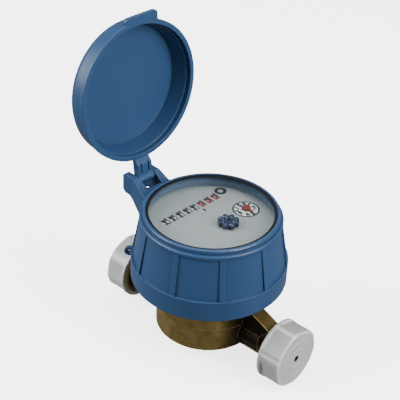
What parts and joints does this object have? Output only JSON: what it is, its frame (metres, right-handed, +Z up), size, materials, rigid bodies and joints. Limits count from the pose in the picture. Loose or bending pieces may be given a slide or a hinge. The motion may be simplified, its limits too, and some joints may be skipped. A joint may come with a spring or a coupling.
{
  "type": "water meter",
  "caption": "single-jet water meter with a brass pipe body, a ribbed blue plastic head, a roller register under a clear lens, an open hinged lid and pale screw caps on the threads",
  "frame": {"origin": "centre of the flat underside of the brass drum", "axes": "+X is the flow direction out of the outlet thread, +Z is up along the register axis"},
  "size_m": [0.1231, 0.0779, 0.1547],
  "materials": {
    "body_brass": "cast and tumbled, dull",
    "ring_brass": "machined",
    "hood_plastic": "moulded, semi-gloss blue",
    "cap_plastic": "milky, half clear",
    "inner_plastic": "moulded",
    "dark_plastic": "moulded, glass filled",
    "dial_plastic": "printed, matt",
    "star_plastic": "moulded dark blue",
    "pointer_plastic": "moulded red",
    "lens_clear": "clear, polished",
    "seal_rubber": "moulded",
    "pin_steel": "drawn, stainless",
    "magnet_ferrite": "sintered"
  },
  "bodies": {
    "body": {"body_casting": "body_brass", "inlet_strainer": "inner_plastic", "lower_pivot": "pin_steel", "pressure_plate": "dark_plastic", "plate_seal": "seal_rubber", "locking_ring": "ring_brass"},
    "impeller": {"impeller": "inner_plastic", "drive_magnet": "magnet_ferrite"},
    "inlet_cap": {"inlet_cap": "cap_plastic"},
    "outlet_cap": {"outlet_cap": "cap_plastic"},
    "head": {"hood": "hood_plastic", "capsule": "dark_plastic", "gear_frame": "inner_plastic", "roller_shaft": "pin_steel", "carry_shaft": "pin_steel", "dial_plate": "dial_plastic", "lens": "lens_clear", "lens_gasket": "seal_rubber", "hinge_pin": "pin_steel"},
    "lid": {"lid": "hood_plastic"},
    "follower": {"follower_arbor": "inner_plastic", "follower_magnet": "magnet_ferrite"},
    "star": {"star_arbor": "inner_plastic", "star_wheel": "star_plastic"},
    "small_pointer": {"pointer_arbor": "inner_plastic", "pointer": "pointer_plastic"},
    "roller_8": {"number_roller_8": "dial_plastic"},
    "roller_7": {"number_roller_7": "dial_plastic"},
    "roller_6": {"number_roller_6": "dial_plastic"},
    "roller_5": {"number_roller_5": "dial_plastic"},
    "roller_4": {"number_roller_4": "dial_plastic"},
    "roller_3": {"number_roller_3": "dial_plastic"},
    "roller_2": {"number_roller_2": "dial_plastic"},
    "roller_1": {"number_roller_1": "dial_plastic"},
    "pinion_7": {"carry_pinion_7": "inner_plastic"},
    "pinion_6": {"carry_pinion_6": "inner_plastic"},
    "pinion_5": {"carry_pinion_5": "inner_plastic"},
    "pinion_4": {"carry_pinion_4": "inner_plastic"},
    "pinion_3": {"carry_pinion_3": "inner_plastic"},
    "pinion_2": {"carry_pinion_2": "inner_plastic"},
    "pinion_1": {"carry_pinion_1": "inner_plastic"}
  },
  "joints": [
    {"name": "head_turn", "type": "hinge", "parent": "body", "child": "head", "pos_m": [0, 0, 0.034], "axis": [0, 0, 1], "range_deg": [-175, 175]},
    {"name": "lid_hinge", "type": "hinge", "parent": "head", "child": "lid", "pos_m": [-0.04607, 0.00346, 0.063], "axis": [-0.075, -0.9972, 0], "range_deg": [-94.5, 0]},
    {"name": "inlet_cap_off", "type": "slide", "parent": "body", "child": "inlet_cap", "axis": [-1, 0, 0], "range_m": [0, 0.016]},
    {"name": "outlet_cap_off", "type": "slide", "parent": "body", "child": "outlet_cap", "axis": [1, 0, 0], "range_m": [0, 0.016]},
    {"name": "impeller_spin", "type": "hinge", "parent": "body", "child": "impeller", "pos_m": [0, 0, 0.01], "axis": [0, 0, 1], "continuous": true},
    {"name": "follower_spin", "type": "hinge", "parent": "head", "child": "follower", "pos_m": [0, 0, 0.045], "axis": [0, 0, 1], "continuous": true},
    {"name": "star_spin", "type": "hinge", "parent": "head", "child": "star", "pos_m": [0.00751, 0.00385, 0.05], "axis": [0, 0, 1], "continuous": true},
    {"name": "pointer_spin", "type": "hinge", "parent": "head", "child": "small_pointer", "pos_m": [0.0052, 0.01987, 0.05], "axis": [0, 0, 1], "continuous": true},
    {"name": "roller_8_spin", "type": "hinge", "parent": "head", "child": "roller_8", "pos_m": [-0.01311, 0.01773, 0.0542], "axis": [0.075, 0.9972, 0], "continuous": true},
    {"name": "roller_7_spin", "type": "hinge", "parent": "head", "child": "roller_7", "pos_m": [-0.01346, 0.01305, 0.0542], "axis": [0.075, 0.9972, 0], "continuous": true},
    {"name": "roller_6_spin", "type": "hinge", "parent": "head", "child": "roller_6", "pos_m": [-0.01381, 0.00836, 0.0542], "axis": [0.075, 0.9972, 0], "continuous": true},
    {"name": "roller_5_spin", "type": "hinge", "parent": "head", "child": "roller_5", "pos_m": [-0.01416, 0.00367, 0.0542], "axis": [0.075, 0.9972, 0], "continuous": true},
    {"name": "roller_4_spin", "type": "hinge", "parent": "head", "child": "roller_4", "pos_m": [-0.01452, -0.00101, 0.0542], "axis": [0.075, 0.9972, 0], "continuous": true},
    {"name": "roller_3_spin", "type": "hinge", "parent": "head", "child": "roller_3", "pos_m": [-0.01487, -0.0057, 0.0542], "axis": [0.075, 0.9972, 0], "continuous": true},
    {"name": "roller_2_spin", "type": "hinge", "parent": "head", "child": "roller_2", "pos_m": [-0.01522, -0.01039, 0.0542], "axis": [0.075, 0.9972, 0], "continuous": true},
    {"name": "roller_1_spin", "type": "hinge", "parent": "head", "child": "roller_1", "pos_m": [-0.01557, -0.01507, 0.0542], "axis": [0.075, 0.9972, 0], "continuous": true},
    {"name": "pinion_7_spin", "type": "hinge", "parent": "head", "child": "pinion_7", "pos_m": [-0.0073, 0.01494, 0.0503], "axis": [0.075, 0.9972, 0], "continuous": true},
    {"name": "pinion_6_spin", "type": "hinge", "parent": "head", "child": "pinion_6", "pos_m": [-0.00765, 0.01025, 0.0503], "axis": [0.075, 0.9972, 0], "continuous": true},
    {"name": "pinion_5_spin", "type": "hinge", "parent": "head", "child": "pinion_5", "pos_m": [-0.00801, 0.00557, 0.0503], "axis": [0.075, 0.9972, 0], "continuous": true},
    {"name": "pinion_4_spin", "type": "hinge", "parent": "head", "child": "pinion_4", "pos_m": [-0.00836, 0.00088, 0.0503], "axis": [0.075, 0.9972, 0], "continuous": true},
    {"name": "pinion_3_spin", "type": "hinge", "parent": "head", "child": "pinion_3", "pos_m": [-0.00871, -0.00381, 0.0503], "axis": [0.075, 0.9972, 0], "continuous": true},
    {"name": "pinion_2_spin", "type": "hinge", "parent": "head", "child": "pinion_2", "pos_m": [-0.00906, -0.00849, 0.0503], "axis": [0.075, 0.9972, 0], "continuous": true},
    {"name": "pinion_1_spin", "type": "hinge", "parent": "head", "child": "pinion_1", "pos_m": [-0.00941, -0.01318, 0.0503], "axis": [0.075, 0.9972, 0], "continuous": true}
  ],
  "couplings": [
    {"joint": "follower_spin", "follows": "impeller_spin", "ratio": 1},
    {"joint": "star_spin", "follows": "impeller_spin", "ratio": -0.5},
    {"joint": "pointer_spin", "follows": "impeller_spin", "ratio": 0.6},
    {"joint": "roller_7_spin", "follows": "roller_8_spin", "ratio": 0.1},
    {"joint": "roller_6_spin", "follows": "roller_8_spin", "ratio": 0.01},
    {"joint": "roller_5_spin", "follows": "roller_8_spin", "ratio": 0.001},
    {"joint": "roller_4_spin", "follows": "roller_8_spin", "ratio": 0.0001},
    {"joint": "roller_3_spin", "follows": "roller_8_spin", "ratio": 0.00001},
    {"joint": "roller_2_spin", "follows": "roller_8_spin", "ratio": 0.000001},
    {"joint": "roller_1_spin", "follows": "roller_8_spin", "ratio": 0.0000001},
    {"joint": "pinion_7_spin", "follows": "roller_8_spin", "ratio": -0.25},
    {"joint": "pinion_6_spin", "follows": "roller_8_spin", "ratio": -0.025},
    {"joint": "pinion_5_spin", "follows": "roller_8_spin", "ratio": -0.0025},
    {"joint": "pinion_4_spin", "follows": "roller_8_spin", "ratio": -0.00025},
    {"joint": "pinion_3_spin", "follows": "roller_8_spin", "ratio": -0.000025},
    {"joint": "pinion_2_spin", "follows": "roller_8_spin", "ratio": -0.0000025},
    {"joint": "pinion_1_spin", "follows": "roller_8_spin", "ratio": -0.00000025}
  ]
}
